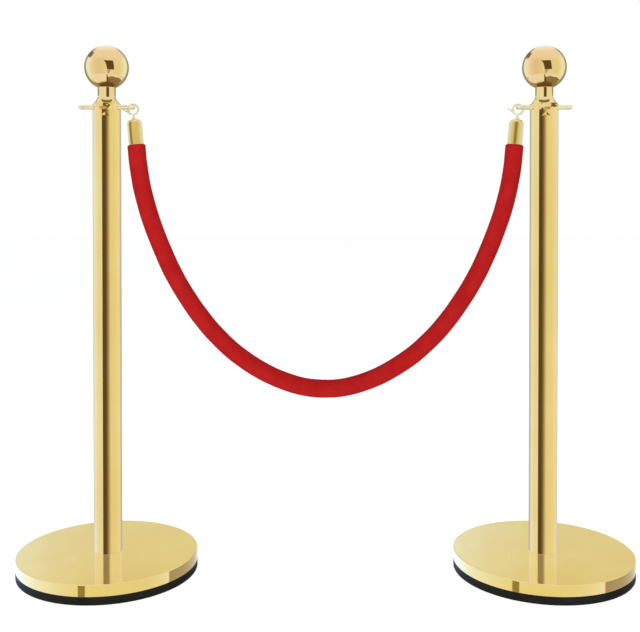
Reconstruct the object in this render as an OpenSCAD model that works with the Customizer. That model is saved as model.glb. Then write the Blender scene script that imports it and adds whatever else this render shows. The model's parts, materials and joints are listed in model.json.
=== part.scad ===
// Pair of ball-top rope stanchions joined by one velvet barrier rope.
// Origin: on the floor, midway between the posts. +X runs along the line of posts, +Z up.

/* [Posts] */
// Distance between the two post axes
post_spacing = 780; // [770:5:790]
// Outer diameter of the post tube
tube_d = 50; // [48:1:52]
// Wall thickness of the post tube
tube_wall = 1.2; // [1:0.1:2]
// Height of the rope loops above the floor
loop_height = 827; // [820:1:840]

/* [Base] */
// Diameter of the base
base_d = 318; // [310:1:330]
// Height of the base, floor to top face
base_h = 34; // [33:0.5:38]
// Height of the metal band on the side of the base
band_h = 19.5; // [18:0.5:20]
// Sheet thickness of the base cover
cover_wall = 1; // [0.8:0.1:1.2]

/* [Ball top] */
// Diameter of the ball
ball_d = 78; // [74:1:82]
// Diameter of the neck under the ball
neck_d = 31.5; // [28:0.5:34]
// Height of the shoulder that narrows the tube to the neck
shoulder_h = 12; // [10:1:14]
// Visible length of the neck
neck_len = 18; // [16:1:22]

/* [Rope loops] */
// Diameter of the loop rod
rod_d = 6.5; // [6:0.25:6.5]
// How far a loop stands out from the tube
loop_reach = 25; // [25:0.5:27]
// Width of a loop across its two legs
loop_w = 26; // [26:0.5:28]

/* [Snap hooks] */
// Outer diameter of the hook ring
ring_d = 22; // [22:0.25:23]
// Thickness of the ring
wire_d = 3.6; // [3.2:0.1:3.6]
// Diameter of the swivel shank
shank_d = 4; // [3.6:0.1:4]

/* [Rope] */
// Diameter of the velvet sleeve
velvet_d = 32; // [30:1:36]
// Thickness of the padded velvet sleeve
velvet_wall = 2; // [1:0.5:4]
// Outer diameter of the metal end cap
cap_d = 27; // [26:0.5:28]
// Length of the end cap
cap_len = 45; // [40:1:48]
// Lean of each end cap from the vertical, towards the middle
lean = 5; // [4:0.5:6]

/* [Hidden] */
SIDES = [-1, 1];
POST_PARTS = [
    "floor_ring", "base_weight", "base_cover", "base_washers", "base_bolt",
    "foot_plug", "post_tube", "top_plug", "neck_collar", "ball_stud", "ball_insert", "ball",
    "loop_front", "loop_back", "loop_inner", "loop_outer"
];
END_PARTS = [
    "hook", "gate", "gate_pin", "gate_spring", "swivel_washer", "end_cap", "core_plug", "cap_screws"
];
$fn = 72;
GOLD = [0.86, 0.72, 0.38];
STEEL = [0.7, 0.7, 0.72];
PLUG_STEEL = [0.6, 0.6, 0.62];

// Clearance between parts that fit together, overlap of solids that are one piece, and how far cutters
// reach beyond the faces that they cut
fit = 0.05;
overlap = 0.5;
cut = 1;

// Post
tube_r = tube_d / 2;
tube_top = loop_height + 5;
plug_r = tube_r - tube_wall - 2 * fit;
plug_h = 30;
free_thread = 4;
post_x = post_spacing / 2;

// Base
base_r = base_d / 2;
band_bottom = base_h - band_h;
rim_r = 1.5;
foot_t = 3;
foot_r = base_r - 21;
foot_edge = 1;
skirt_r = base_r - 11;
rubber_gap = 0.2;
weight_r = base_r - cover_wall - 0.5;
weight_top = base_h - cover_wall;
web_bottom = weight_top - 9;
hub_r = 30;
hub_bottom = 14;
weight_ring_w = 8;
bolt_r = 6;
bolt_hole_r = bolt_r + 0.25;
bolt_head_r = 11;
bolt_head_h = 7.5;
bolt_len = plug_h - free_thread;
washer_t = 2.5;
flat_washer_r = 14;
spring_washer_r = 10.5;
washer_split = 1.6;
washer_gap = 2 * fit;

// Ball top
ball_r = ball_d / 2;
neck_r = neck_d / 2;
neck_bottom = tube_top + shoulder_h;
neck_top = neck_bottom + neck_len;
ball_z = neck_top + sqrt(ball_r * ball_r - neck_r * neck_r);
ball_wall = 1.2;
ball_hole_h = 8;
collar_lip = 0.6;
flare_steps = 8;
flare_bow = 0.25;
flare_lift = 0.2;
insert_r = 9;
insert_h = 14;
stud_r = 4;
stud_bottom = tube_top - plug_h + free_thread;
stud_top = ball_z - ball_r + insert_h;

// Rope loops
rod_r = rod_d / 2;
leg_y = loop_w / 2 - rod_r;
bend_r = 6;
bar_reach = tube_r + loop_reach - rod_r;
leg_start = 14;
leg_hole_start = leg_start - 2 * fit;

// Snap hook, in a frame with its origin on the axis of the loop's end bar and +Z up the shank
wire_r = wire_d / 2;
ring_r = (ring_d - wire_d) / 2;
hang_gap = 0.25;
ring_z = rod_r + hang_gap + wire_r - ring_r;
ring_from = -98;
ring_to = 190;
pivot_at = 195;
gate_at = 220;
gate_end = 248;
gate_wire_r = 1.6;
gate_plate = 2.2;
slot_w = 2.6;
web_w = 2.4;
web_overlap = 2;
knuckle_r = 3;
knuckle_w = 5.4;
knuckle_gap = 0.3;
eye_r = knuckle_r - 0.4;
pin_r = 0.8;
pin_hole_r = pin_r + 0.02;
lever_root = [-4.1, -12.5];
lever_tip = [-17.7, -3.1];
lever_r = 1.1;
shank_r = shank_d / 2;
collar_r = 4.5;
collar_h = 2.5;
spring_wire_r = 0.2;
spring_r = 1.25;
spring_turns = 1.5;
spring_pitch = 0.45;
spring_sides = 6;
spring_steps = 16;
pocket_r = 1.7;
pocket_w = 1.2;
pivot = [ring_r * cos(pivot_at), ring_z + ring_r * sin(pivot_at)];

// Rope ends, in the same frame as the hook
cap_top = -21.5;
cap_r = cap_d / 2;
cap_wall = 1.2;
dome_r = 9;
cap_mouth = cap_top - cap_len;
washer_top = cap_top - cap_wall - fit;
swivel_washer_t = 1.2;
swivel_washer_r = 5.2;
swivel_gap = 0.3;
head_top = washer_top - swivel_washer_t - swivel_gap;
head_h = 2;
head_r = 4.5;
plug_top = cap_top - dome_r - 0.5;
core_plug_r = cap_r - cap_wall - 2 * fit;
screw_z = cap_mouth + 11;
screw_angles = [60, 120];
screw_r = 1.45;
screw_len = 9;
screw_hole_r = screw_r + fit;
cap_hole_depth = 4;
plug_hole_depth = screw_len + 0.2;
screw_head_r = 2.6;
screw_head_h = 1.1;
screw_head_curve = 3.6;
screw_slot_w = 0.7;
screw_slot_h = 0.5;

// Rope route, right half, as X and Z from the first point below the cap to the lowest one
route_spacing = 780;
route_loop_z = 827;
HALF_ROUTE = [
    [334, 725], [327.5, 685], [317.5, 645], [305, 608], [290, 570], [272.5, 532], [251.5, 495],
    [226.5, 458], [197, 422], [162, 389], [122, 361], [82, 341], [41, 328], [0, 324]
];
rope_sides = 12;
velvet_r = velvet_d / 2;
core_r = velvet_r - velvet_wall - 0.1;
half_count = len(HALF_ROUTE);
mouth = [post_x - bar_reach + cap_mouth * sin(lean), loop_height + cap_mouth * cos(lean)];
right_half = concat([mouth], [for (p = HALF_ROUTE) on_site(p)]);
route = concat(
    [for (p = right_half) [-p[0], p[1]]],
    [for (i = [half_count - 1 : -1 : 0]) right_half[i]]
);
last = len(route) - 1;

// ---------- helpers ----------

function named(side, part) = str(side < 0 ? "left_" : "right_", part);

function on_site(p) = [
    p[0] * post_spacing / route_spacing,
    p[1] + loop_height - route_loop_z
];

function arc(centre, r, from, to, steps) = [
    for (i = [0 : steps])
        let (a = from + (to - from) * i / steps)
        [centre[0] + r * cos(a), centre[1] + r * sin(a)]
];

function unit(v) = v / norm(v);

function heading(i) =
    i == 0 ? [sin(lean), -cos(lean)] :
    i == last ? [sin(lean), cos(lean)] :
    unit(unit(route[i + 1] - route[i]) + unit(route[i] - route[i - 1]));

function rope_ring(i, r) = [
    for (k = [0 : rope_sides - 1])
        let (a = 360 * k / rope_sides, t = heading(i))
        [route[i][0] - r * cos(a) * t[1], r * sin(a), route[i][1] + r * cos(a) * t[0]]
];

function rope_skin(r) = [for (i = [0 : last]) each rope_ring(i, r)];

function skin_faces(start, inward) = [
    for (i = [0 : last - 1], k = [0 : rope_sides - 1])
        let (
            a = start + i * rope_sides + k,
            b = start + i * rope_sides + (k + 1) % rope_sides,
            c = b + rope_sides,
            d = a + rope_sides
        )
        each (inward ? [[a, c, b], [a, d, c]] : [[a, b, c], [a, c, d]])
];

function rim_faces(outer, inner, at_end) = [
    for (k = [0 : rope_sides - 1])
        let (
            a = outer + k,
            b = outer + (k + 1) % rope_sides,
            c = inner + (k + 1) % rope_sides,
            d = inner + k
        )
        each (at_end ? [[a, b, c], [a, c, d]] : [[a, c, b], [a, d, c]])
];

// Places a post's parts on their side
module on_post(side) {
    translate([side * post_x, 0, 0]) children();
}

// Places a rope end's parts so that they hang from the inner loop of their post
module on_hook(side) {
    translate([side * (post_x - bar_reach), 0, loop_height])
        rotate([0, side * lean, 0])
            children();
}

// A rod along Y, centred on a point of the XZ plane
module cross_rod(p, r, w) {
    translate([p[0], 0, p[1]])
        rotate([90, 0, 0])
            cylinder(h = w, r = r, center = true, $fn = 48);
}

// A round bar swept along an arc in the XZ plane
module ring_arc(from, to, r) {
    translate([0, 0, ring_z])
        rotate([90, 0, 0])
            rotate([0, 0, from])
                rotate_extrude(angle = to - from)
                    translate([ring_r, 0])
                        circle(r = r, $fn = 36);
}

// ---------- base ----------

// Rubber ring that the base stands on
module floor_ring() {
    color([0.12, 0.12, 0.11])
        rotate_extrude($fn = 144)
            polygon([
                [foot_r, 0],
                [base_r - foot_edge, 0],
                [base_r, foot_edge],
                [base_r, band_bottom - rubber_gap],
                [skirt_r + rubber_gap, band_bottom - rubber_gap],
                [skirt_r + rubber_gap, foot_t],
                [foot_r, foot_t]
            ]);
}

// Cast weight that fills the cover, with a hub for the bolt
module base_weight() {
    color([0.2, 0.2, 0.21])
        rotate_extrude($fn = 144)
            polygon([
                [bolt_hole_r, hub_bottom],
                [hub_r, hub_bottom],
                [hub_r, web_bottom],
                [skirt_r - weight_ring_w, web_bottom],
                [skirt_r - weight_ring_w, foot_t + 2 * fit],
                [skirt_r, foot_t + 2 * fit],
                [skirt_r, band_bottom],
                [weight_r, band_bottom],
                [weight_r, weight_top],
                [bolt_hole_r, weight_top]
            ]);
}

// Polished sheet cover over the weight
module base_cover() {
    inner_r = base_r - cover_wall;
    color(GOLD)
        rotate_extrude($fn = 144)
            polygon(concat(
                [
                    [bolt_hole_r, weight_top],
                    [inner_r, weight_top],
                    [inner_r, band_bottom],
                    [base_r, band_bottom]
                ],
                arc([base_r - rim_r, base_h - rim_r], rim_r, 0, 90, 6),
                [[bolt_hole_r, base_h]]
            ));
}

// Hole for the bolt through a washer
module washer_hole() {
    translate([0, 0, -cut]) cylinder(h = washer_t + 2 * cut, r = bolt_hole_r);
}

// Flat washer and split spring washer under the hub
module base_washers() {
    color(STEEL) {
        translate([0, 0, hub_bottom - washer_t])
            difference() {
                cylinder(h = washer_t, r = flat_washer_r);
                washer_hole();
            }
        translate([0, 0, hub_bottom - 2 * washer_t - washer_gap])
            difference() {
                cylinder(h = washer_t, r = spring_washer_r);
                washer_hole();
                translate([0, -washer_split / 2, -cut])
                    cube([spring_washer_r + cut, washer_split, washer_t + 2 * cut]);
            }
    }
}

// Hexagon bolt that clamps the base to the post
module base_bolt() {
    head_z = hub_bottom - 2 * (washer_t + washer_gap);
    color(STEEL) {
        translate([0, 0, head_z - bolt_head_h]) cylinder(h = bolt_head_h, r = bolt_head_r, $fn = 6);
        translate([0, 0, head_z - overlap])
            cylinder(h = base_h + bolt_len - head_z + overlap, r = bolt_r);
    }
}

// ---------- post ----------

// Threaded plug pressed into the foot of the tube
module foot_plug() {
    color(PLUG_STEEL)
        translate([0, 0, base_h])
            difference() {
                cylinder(h = plug_h, r = plug_r);
                translate([0, 0, -cut]) cylinder(h = plug_h + 2 * cut, r = bolt_r + fit);
            }
}

// Cuts the holes that the legs of the four loops go into
module leg_holes() {
    for (a = [0 : 90 : 270], y = [-leg_y, leg_y])
        rotate([0, 0, a])
            translate([leg_hole_start, y, loop_height])
                rotate([0, 90, 0])
                    cylinder(h = tube_r, r = rod_r + fit, $fn = 48);
}

// Polished tube
module post_tube() {
    color(GOLD)
        difference() {
            translate([0, 0, base_h]) cylinder(h = tube_top - base_h, r = tube_r, $fn = 96);
            translate([0, 0, base_h - cut])
                cylinder(h = tube_top - base_h + 2 * cut, r = tube_r - tube_wall, $fn = 96);
            leg_holes();
        }
}

// Plug in the head of the tube that holds the loops and the ball stud
module top_plug() {
    color(PLUG_STEEL)
        difference() {
            translate([0, 0, tube_top - plug_h]) cylinder(h = plug_h, r = plug_r);
            translate([0, 0, tube_top - plug_h - cut])
                cylinder(h = plug_h + 2 * cut, r = stud_r + fit);
            leg_holes();
        }
}

// Rod bent into a squared loop that stands out of the tube along +X
module loop() {
    corner_x = bar_reach - bend_r;
    color(GOLD)
        translate([0, 0, loop_height])
            union() {
                for (s = SIDES) {
                    translate([leg_start, s * leg_y, 0])
                        rotate([0, 90, 0])
                            cylinder(h = corner_x - leg_start, r = rod_r, $fn = 48);
                    translate([corner_x, s * (leg_y - bend_r), 0])
                        rotate([0, 0, s < 0 ? -90 : 0])
                            rotate_extrude(angle = 90)
                                translate([bend_r, 0])
                                    circle(r = rod_r, $fn = 48);
                }
                translate([bar_reach, 0, 0])
                    rotate([90, 0, 0])
                        cylinder(h = 2 * (leg_y - bend_r), r = rod_r, center = true, $fn = 48);
            }
}

// ---------- ball top ----------

// Turned collar: hollow-sided shoulder and straight neck, cupped on top for the ball
module neck_collar() {
    flare = tube_r - neck_r;
    lip_top = tube_top + collar_lip;
    rise = shoulder_h - collar_lip;
    color(GOLD)
        difference() {
            rotate_extrude($fn = 96)
                polygon(concat(
                    [[stud_r + fit, tube_top], [tube_r, tube_top], [tube_r, lip_top]],
                    [
                        for (i = [1 : flare_steps])
                            let (u = i / flare_steps)
                            [
                                tube_r - flare * ((1 + flare_bow) * u - flare_bow * u * u),
                                lip_top + rise * ((1 - flare_lift) * u + flare_lift * u * u)
                            ]
                    ],
                    [[neck_r, neck_top + cut], [stud_r + fit, neck_top + cut]]
                ));
            translate([0, 0, ball_z]) sphere(r = ball_r, $fn = 96);
        }
}

// Threaded stud from the top plug, through the neck and into the ball
module ball_stud() {
    color(STEEL)
        translate([0, 0, stud_bottom])
            cylinder(h = stud_top - stud_bottom, r = stud_r);
}

// Threaded boss welded inside the ball
module ball_insert() {
    color(PLUG_STEEL)
        difference() {
            intersection() {
                translate([0, 0, ball_z - ball_r]) cylinder(h = insert_h, r = insert_r);
                translate([0, 0, ball_z]) sphere(r = ball_r - ball_wall, $fn = 96);
            }
            translate([0, 0, ball_z - ball_r - cut])
                cylinder(h = insert_h + 2 * cut, r = stud_r + fit);
        }
}

// Hollow polished ball
module ball() {
    color(GOLD)
        translate([0, 0, ball_z])
            difference() {
                sphere(r = ball_r, $fn = 96);
                sphere(r = ball_r - ball_wall, $fn = 96);
                translate([0, 0, -ball_r - cut]) cylinder(h = ball_hole_h, r = stud_r + fit);
            }
}

// ---------- snap hook ----------

// Open ring with a gate knuckle, swivel shank and riveted head
module hook() {
    ring_bottom = ring_z - ring_r;
    color(GOLD)
        difference() {
            union() {
                ring_arc(ring_from, ring_to, wire_r);
                cross_rod(pivot, knuckle_r, knuckle_w);
                translate([0, 0, head_top - overlap])
                    cylinder(h = ring_bottom - head_top + overlap, r = shank_r, $fn = 48);
                translate([0, 0, cap_top + swivel_gap])
                    cylinder(h = collar_h, r = collar_r, $fn = 48);
                translate([0, 0, head_top - head_h]) cylinder(h = head_h, r = head_r, $fn = 48);
            }
            cross_rod(pivot, knuckle_r + knuckle_gap, slot_w);
            cross_rod(pivot, pin_hole_r, knuckle_w + 2 * cut);
        }
}

// Spring gate that closes the ring, with its thumb lever and a pocket for the spring
module gate() {
    lever = lever_tip - lever_root;
    color(GOLD)
        difference() {
            union() {
                cross_rod(pivot, eye_r, gate_plate);
                ring_arc(gate_at, gate_end, gate_wire_r);
                translate([0, 0, ring_z])
                    rotate([90, 0, 0])
                        rotate([0, 0, pivot_at])
                            rotate_extrude(angle = gate_at - pivot_at + web_overlap)
                                translate([ring_r - web_w / 2, -gate_plate / 2])
                                    square([web_w, gate_plate]);
                translate([lever_root[0], 0, lever_root[1]])
                    rotate([0, atan2(lever[0], lever[1]), 0])
                        cylinder(h = norm(lever), r = lever_r, $fn = 36);
                translate([lever_tip[0], 0, lever_tip[1]]) sphere(r = lever_r, $fn = 36);
            }
            cross_rod(pivot, pin_r + fit, gate_plate + 2 * cut);
            cross_rod(pivot, pocket_r, pocket_w);
        }
}

// Pin of the gate, riveted flush in both cheeks
module gate_pin() {
    color(STEEL) cross_rod(pivot, pin_r, knuckle_w);
}

// Torsion spring, wound on the pin inside the gate's eye
module gate_spring() {
    steps = spring_turns * spring_steps;
    wire = [
        for (i = [0 : steps])
            let (a = 360 * i / spring_steps)
            [spring_r * cos(a), spring_pitch * (i - steps / 2) / spring_steps, spring_r * sin(a)]
    ];
    points = [
        for (i = [0 : steps], k = [0 : spring_sides - 1])
            let (
                t = unit(wire[min(i + 1, steps)] - wire[max(i - 1, 0)]),
                across = unit(cross([0, 1, 0], t)),
                up = cross(t, across),
                a = 360 * k / spring_sides
            )
            wire[i] + spring_wire_r * (cos(a) * across + sin(a) * up)
    ];
    color(STEEL)
        translate([pivot[0], 0, pivot[1]])
            polyhedron(
                points = points,
                faces = concat(
                    [
                        for (i = [0 : steps - 1], k = [0 : spring_sides - 1])
                            let (
                                a = i * spring_sides + k,
                                b = i * spring_sides + (k + 1) % spring_sides
                            )
                            each [
                                [a, b + spring_sides, b],
                                [a, a + spring_sides, b + spring_sides]
                            ]
                    ],
                    [[for (k = [0 : spring_sides - 1]) k]],
                    [[for (k = [spring_sides - 1 : -1 : 0]) steps * spring_sides + k]]
                )
            );
}

// ---------- rope ends ----------

// Washer that the swivel head bears on
module swivel_washer() {
    color(STEEL)
        translate([0, 0, washer_top - swivel_washer_t])
            difference() {
                cylinder(h = swivel_washer_t, r = swivel_washer_r, $fn = 48);
                translate([0, 0, -cut])
                    cylinder(h = swivel_washer_t + 2 * cut, r = shank_r + fit, $fn = 48);
            }
}

// Holes for the two cap screws, drilled from the back
module screw_holes(depth) {
    for (a = screw_angles)
        rotate([0, 0, a])
            translate([cap_r - depth, 0, screw_z])
                rotate([0, 90, 0])
                    cylinder(h = depth + cut, r = screw_hole_r, $fn = 36);
}

// Domed metal cap over the end of the rope
module end_cap() {
    arc_x = cap_r - dome_r;
    arc_z = cap_top - dome_r;
    color(GOLD)
        difference() {
            rotate_extrude()
                polygon(concat(
                    [[shank_r + fit, cap_top - cap_wall], [shank_r + fit, cap_top]],
                    arc([arc_x, arc_z], dome_r, 90, 0, 12),
                    [[cap_r, cap_mouth], [cap_r - cap_wall, cap_mouth]],
                    arc([arc_x, arc_z], dome_r - cap_wall, 0, 90, 12)
                ));
            screw_holes(cap_hole_depth);
        }
}

// Wooden plug that the rope is glued and screwed to
module core_plug() {
    color([0.7, 0.55, 0.36])
        difference() {
            translate([0, 0, cap_mouth])
                cylinder(h = plug_top - cap_mouth, r = core_plug_r);
            screw_holes(plug_hole_depth);
        }
}

// Two round-headed screws, with a driver slot, that hold the cap to the plug
module cap_screws() {
    seat = cap_r + fit;
    crown = seat + screw_head_h;
    color(GOLD)
        for (a = screw_angles)
            rotate([0, 0, a])
                translate([0, 0, screw_z])
                    rotate([0, 90, 0]) {
                        translate([0, 0, cap_r - screw_len])
                            cylinder(h = screw_len + overlap, r = screw_r, $fn = 36);
                        difference() {
                            intersection() {
                                translate([0, 0, seat])
                                    cylinder(h = screw_head_h, r = screw_head_r, $fn = 36);
                                translate([0, 0, crown - screw_head_curve])
                                    sphere(r = screw_head_curve, $fn = 48);
                            }
                            translate([-screw_slot_w / 2, -screw_head_curve, crown - screw_slot_h])
                                cube([screw_slot_w, 2 * screw_head_curve, screw_slot_h + cut]);
                        }
                    }
}

// ---------- rope ----------

// Cotton core that fills the sleeve
module rope_core() {
    points = rope_skin(core_r);
    final = last * rope_sides;
    color([0.9, 0.88, 0.8])
        polyhedron(
            points = points,
            faces = concat(
                skin_faces(0, false),
                [[for (k = [rope_sides - 1 : -1 : 0]) k]],
                [[for (k = [0 : rope_sides - 1]) final + k]]
            )
        );
}

// Velvet sleeve, a tube as long as the rope
module velvet_sleeve() {
    count = (last + 1) * rope_sides;
    final = last * rope_sides;
    color([0.74, 0.12, 0.13])
        polyhedron(
            points = concat(rope_skin(velvet_r), rope_skin(velvet_r - velvet_wall)),
            faces = concat(
                skin_faces(0, false),
                skin_faces(count, true),
                rim_faces(0, count, false),
                rim_faces(final, count + final, true)
            )
        );
}

// ---------- assembly ----------

for (side = SIDES) {
    inward = side < 0 ? 0 : 180;
    on_post(side) {
        floor_ring();
        base_weight();
        base_cover();
        base_washers();
        base_bolt();
        foot_plug();
        post_tube();
        top_plug();
        neck_collar();
        ball_stud();
        ball_insert();
        ball();
        rotate([0, 0, 270]) loop();
        rotate([0, 0, 90]) loop();
        rotate([0, 0, inward]) loop();
        rotate([0, 0, inward + 180]) loop();
    }
    on_hook(side) {
        hook();
        gate();
        gate_pin();
        gate_spring();
        swivel_washer();
        end_cap();
        core_plug();
        cap_screws();
    }
}
rope_core();
velvet_sleeve();
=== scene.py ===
"""Two ball-top rope stanchions with a velvet rope between them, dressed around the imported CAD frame."""

import json
import math

import bpy
import numpy as np
from mathutils import Matrix, Vector, noise
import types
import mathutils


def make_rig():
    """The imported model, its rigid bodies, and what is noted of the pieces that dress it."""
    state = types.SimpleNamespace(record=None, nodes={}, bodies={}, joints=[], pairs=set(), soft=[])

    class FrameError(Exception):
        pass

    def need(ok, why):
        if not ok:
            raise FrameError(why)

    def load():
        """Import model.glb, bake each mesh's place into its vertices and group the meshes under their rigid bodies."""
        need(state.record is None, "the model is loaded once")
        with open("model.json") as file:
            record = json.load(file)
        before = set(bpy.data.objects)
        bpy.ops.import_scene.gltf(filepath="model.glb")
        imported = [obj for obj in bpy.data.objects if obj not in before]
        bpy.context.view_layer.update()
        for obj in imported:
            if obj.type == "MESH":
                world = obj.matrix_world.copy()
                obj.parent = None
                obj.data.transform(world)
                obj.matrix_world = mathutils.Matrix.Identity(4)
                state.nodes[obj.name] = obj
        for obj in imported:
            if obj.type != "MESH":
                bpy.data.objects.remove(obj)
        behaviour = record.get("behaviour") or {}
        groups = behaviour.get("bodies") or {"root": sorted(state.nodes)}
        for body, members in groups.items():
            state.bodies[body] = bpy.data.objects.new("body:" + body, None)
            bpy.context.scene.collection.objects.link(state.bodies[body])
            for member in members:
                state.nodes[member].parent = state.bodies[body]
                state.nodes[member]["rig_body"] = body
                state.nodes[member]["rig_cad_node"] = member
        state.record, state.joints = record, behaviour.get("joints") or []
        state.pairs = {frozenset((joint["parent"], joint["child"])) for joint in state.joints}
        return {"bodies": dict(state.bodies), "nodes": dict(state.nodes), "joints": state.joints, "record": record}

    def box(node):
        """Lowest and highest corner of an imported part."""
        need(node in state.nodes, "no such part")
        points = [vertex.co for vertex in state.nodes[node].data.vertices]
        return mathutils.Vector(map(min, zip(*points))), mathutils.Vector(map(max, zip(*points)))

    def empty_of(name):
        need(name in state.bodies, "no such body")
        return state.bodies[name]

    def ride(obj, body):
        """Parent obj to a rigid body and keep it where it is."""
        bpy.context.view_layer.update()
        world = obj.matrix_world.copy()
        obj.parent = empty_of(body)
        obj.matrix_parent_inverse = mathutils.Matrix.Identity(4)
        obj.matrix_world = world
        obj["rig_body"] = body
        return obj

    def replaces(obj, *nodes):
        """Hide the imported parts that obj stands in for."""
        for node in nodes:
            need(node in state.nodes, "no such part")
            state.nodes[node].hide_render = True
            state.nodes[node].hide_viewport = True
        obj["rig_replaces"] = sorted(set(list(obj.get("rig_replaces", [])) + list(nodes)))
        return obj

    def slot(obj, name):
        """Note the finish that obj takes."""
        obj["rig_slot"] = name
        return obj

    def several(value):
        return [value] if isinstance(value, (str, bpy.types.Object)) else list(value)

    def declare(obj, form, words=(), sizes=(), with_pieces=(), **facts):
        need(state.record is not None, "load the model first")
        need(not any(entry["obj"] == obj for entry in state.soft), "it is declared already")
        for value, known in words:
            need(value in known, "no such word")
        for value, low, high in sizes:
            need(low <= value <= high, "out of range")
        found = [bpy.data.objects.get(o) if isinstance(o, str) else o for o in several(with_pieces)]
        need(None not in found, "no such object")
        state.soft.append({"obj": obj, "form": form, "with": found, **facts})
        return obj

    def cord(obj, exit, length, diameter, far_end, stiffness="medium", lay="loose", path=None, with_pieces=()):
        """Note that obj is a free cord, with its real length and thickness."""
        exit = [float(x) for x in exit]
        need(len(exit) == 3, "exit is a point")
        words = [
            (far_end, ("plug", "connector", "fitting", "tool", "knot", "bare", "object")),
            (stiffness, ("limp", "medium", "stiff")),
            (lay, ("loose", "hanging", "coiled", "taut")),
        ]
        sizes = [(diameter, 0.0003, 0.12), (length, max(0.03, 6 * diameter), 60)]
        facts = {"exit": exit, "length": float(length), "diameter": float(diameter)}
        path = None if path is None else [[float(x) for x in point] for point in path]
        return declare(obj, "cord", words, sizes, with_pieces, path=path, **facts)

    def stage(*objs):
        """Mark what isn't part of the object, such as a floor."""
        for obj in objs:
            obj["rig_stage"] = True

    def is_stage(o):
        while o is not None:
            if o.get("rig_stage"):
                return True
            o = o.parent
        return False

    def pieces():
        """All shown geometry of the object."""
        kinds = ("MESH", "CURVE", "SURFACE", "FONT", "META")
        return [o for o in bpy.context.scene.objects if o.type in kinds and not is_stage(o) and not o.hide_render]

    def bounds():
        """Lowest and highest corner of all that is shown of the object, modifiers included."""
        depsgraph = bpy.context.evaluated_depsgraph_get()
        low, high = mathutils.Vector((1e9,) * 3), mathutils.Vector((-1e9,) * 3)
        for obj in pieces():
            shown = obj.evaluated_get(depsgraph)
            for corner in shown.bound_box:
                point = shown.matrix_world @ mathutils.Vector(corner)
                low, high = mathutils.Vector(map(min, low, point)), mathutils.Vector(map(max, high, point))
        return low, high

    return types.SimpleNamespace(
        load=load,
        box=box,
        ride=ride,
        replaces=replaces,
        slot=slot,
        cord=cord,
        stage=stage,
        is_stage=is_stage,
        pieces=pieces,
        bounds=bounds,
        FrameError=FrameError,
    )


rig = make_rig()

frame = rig.load()
CAD_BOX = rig.bounds()

MM = 0.001
SIDES = {"left": -1, "right": 1}
UP = Vector((0, 0, 1))

# ---------- camera ----------

CAMERA_PLACE = (-0.00977, -1.687, 0.6505)
CAMERA_PITCH = -0.829
CAMERA_LENS = 53.13
CAMERA_SHIFT = -0.15


def make_camera():
    data = bpy.data.cameras.new("camera")
    data.sensor_width = 36
    data.lens = CAMERA_LENS
    data.shift_y = CAMERA_SHIFT
    data.clip_end = 50
    camera = bpy.data.objects.new("camera", data)
    bpy.context.scene.collection.objects.link(camera)
    camera.location = CAMERA_PLACE
    camera.rotation_euler = (math.radians(90 + CAMERA_PITCH), 0, 0)
    bpy.context.scene.camera = camera


make_camera()

# ---------- places, from the frame ----------


def post_axis(side):
    """X of the post's axis."""
    low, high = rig.box(f"{side}_post_tube")
    return (low.x + high.x) / 2


def facing_camera(x):
    """The turn about Z that brings -Y to the camera, as seen from a place on the row at x."""
    return Matrix.Rotation(math.atan2(CAMERA_PLACE[0] - x, -CAMERA_PLACE[1]), 4, "Z")


def hook_frame(side):
    """The hook's frame: its origin on the loop's end bar and +Z up the swivel's axis."""
    joint = next(j for j in frame["joints"] if j["name"] == f"{side}_swivel")
    up = Vector(joint["axis"])
    up = up if up.z > 0 else -up
    across = Vector((0, 1, 0)).cross(up)
    turn = Matrix((across, (0, 1, 0), up)).transposed().to_4x4()
    return Matrix.Translation(joint["pos_m"]) @ turn


# ---------- mesh tools ----------


def mesh_object(name, points, faces):
    mesh = bpy.data.meshes.new(name)
    mesh.from_pydata([tuple(p) for p in points], [], faces)
    mesh.validate()
    mesh.shade_smooth()
    piece = bpy.data.objects.new(name, mesh)
    bpy.context.scene.collection.objects.link(piece)
    return piece


def arc(centre, radius, start, end, steps):
    """Points along an arc; the angles are in degrees."""
    angles = [math.radians(start + (end - start) * i / steps) for i in range(steps + 1)]
    return [(centre[0] + radius * math.cos(a), centre[1] + radius * math.sin(a)) for a in angles]


def rounded(corners, steps=6):
    """The closed outline through corners (x, y, fillet radius), with each corner rounded."""
    outline = []
    for i, (x, y, radius) in enumerate(corners):
        here = Vector((x, y))
        back = (Vector(corners[i - 1][:2]) - here).normalized()
        ahead = (Vector(corners[(i + 1) % len(corners)][:2]) - here).normalized()
        half = back.angle(ahead) / 2
        if radius == 0 or half > math.radians(88):
            outline.append((x, y))
            continue
        reach = radius / math.tan(half)
        middle = here + (back + ahead).normalized() * radius / math.sin(half)
        first, second = here + back * reach - middle, here + ahead * reach - middle
        turn = first.angle_signed(second)
        for k in range(steps + 1):
            spoke = first.copy()
            spoke.rotate(Matrix.Rotation(-turn * k / steps, 2))
            outline.append(tuple(middle + spoke))
    return outline


def supported(outline, gap=0.25, longest=1.5):
    """The closed outline with a point close to each end of its long straight stretches, to keep them flat."""
    out = []
    for i, point in enumerate(outline):
        here, there = Vector(point), Vector(outline[(i + 1) % len(outline)])
        out.append(tuple(here))
        if (there - here).length > longest:
            step = (there - here).normalized() * gap
            out += [tuple(here + step), tuple(there - step)]
    return out


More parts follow.
